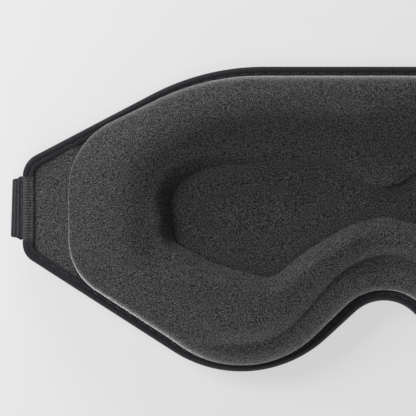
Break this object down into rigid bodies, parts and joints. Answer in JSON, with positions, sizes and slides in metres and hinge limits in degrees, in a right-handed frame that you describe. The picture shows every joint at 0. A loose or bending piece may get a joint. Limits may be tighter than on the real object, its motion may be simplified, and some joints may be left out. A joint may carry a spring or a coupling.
{
  "type": "sleep eye mask",
  "caption": "Contoured sleep eye mask with hollows over the eyes, a nose notch, taped edges and two folded elastic straps that swing out and fasten with hook and loop.",
  "frame": {"origin": "under the middle of the mask, on the surface that its folded straps lie on", "axes": "+X from the wing with the loop patch to the wing with the hook patch, +Y towards the forehead, +Z towards the wearer's face"},
  "size_m": [0.2084, 0.085, 0.0193],
  "materials": {
    "face_fabric": "charcoal heather knit, soft matt sheen",
    "lining_fabric": "charcoal heather knit, soft matt sheen",
    "cover_fabric": "charcoal heather knit, soft matt sheen",
    "foam": "open-cell foam, matt, inside the covers",
    "edge_tape": "near-black folded tape, fine rib",
    "end_tape": "dark grey ribbed tape",
    "elastic": "dark grey knitted elastic",
    "loop_pile": "soft black loop pile",
    "hook_tape": "black nylon hooks",
    "thread": "dark polyester thread"
  },
  "bodies": {
    "mask": {"outer_cover": "cover_fabric", "shell_foam": "foam", "inner_lining": "lining_fabric", "pad_foam": "foam", "face_cover": "face_fabric", "binding_top": "edge_tape", "binding_bottom": "edge_tape", "binding_end_left": "end_tape", "binding_end_right": "end_tape", "binding_stitches_face": "thread", "binding_stitches_back": "thread", "strap_left_sewn_end": "elastic", "strap_left_root_fold": "elastic", "strap_right_sewn_end": "elastic", "strap_right_root_fold": "elastic"},
    "left_strap_inner": {"strap_left_inner_run": "elastic", "strap_left_middle_fold": "elastic"},
    "left_strap_outer": {"strap_left_outer_run": "elastic", "loop_patch": "loop_pile", "loop_patch_stitches": "thread"},
    "right_strap_inner": {"strap_right_inner_run": "elastic", "strap_right_middle_fold": "elastic"},
    "right_strap_outer": {"strap_right_outer_run": "elastic", "hook_patch": "hook_tape", "hook_patch_stitches": "thread"}
  },
  "joints": [
    {"name": "left_strap_swing", "type": "hinge", "parent": "mask", "child": "left_strap_inner", "pos_m": [-0.1014, 0.0031, 0.0054], "axis": [0, 1, 0], "range_deg": [0, 180], "deforming": ["strap_left_root_fold"]},
    {"name": "left_strap_unfold", "type": "hinge", "parent": "left_strap_inner", "child": "left_strap_outer", "pos_m": [-0.019, 0.0031, 0.00235], "axis": [0, 1, 0], "range_deg": [-180, 0], "deforming": ["strap_left_middle_fold"]},
    {"name": "right_strap_swing", "type": "hinge", "parent": "mask", "child": "right_strap_inner", "pos_m": [0.1014, 0.0031, 0.0054], "axis": [0, -1, 0], "range_deg": [0, 180], "deforming": ["strap_right_root_fold"]},
    {"name": "right_strap_unfold", "type": "hinge", "parent": "right_strap_inner", "child": "right_strap_outer", "pos_m": [0.019, 0.0031, 0.0019], "axis": [0, -1, 0], "range_deg": [-180, 0], "deforming": ["strap_right_middle_fold"]}
  ],
  "couplings": [
    {"joint": "left_strap_unfold", "follows": "left_strap_swing", "ratio": -1},
    {"joint": "right_strap_unfold", "follows": "right_strap_swing", "ratio": -1}
  ]
}
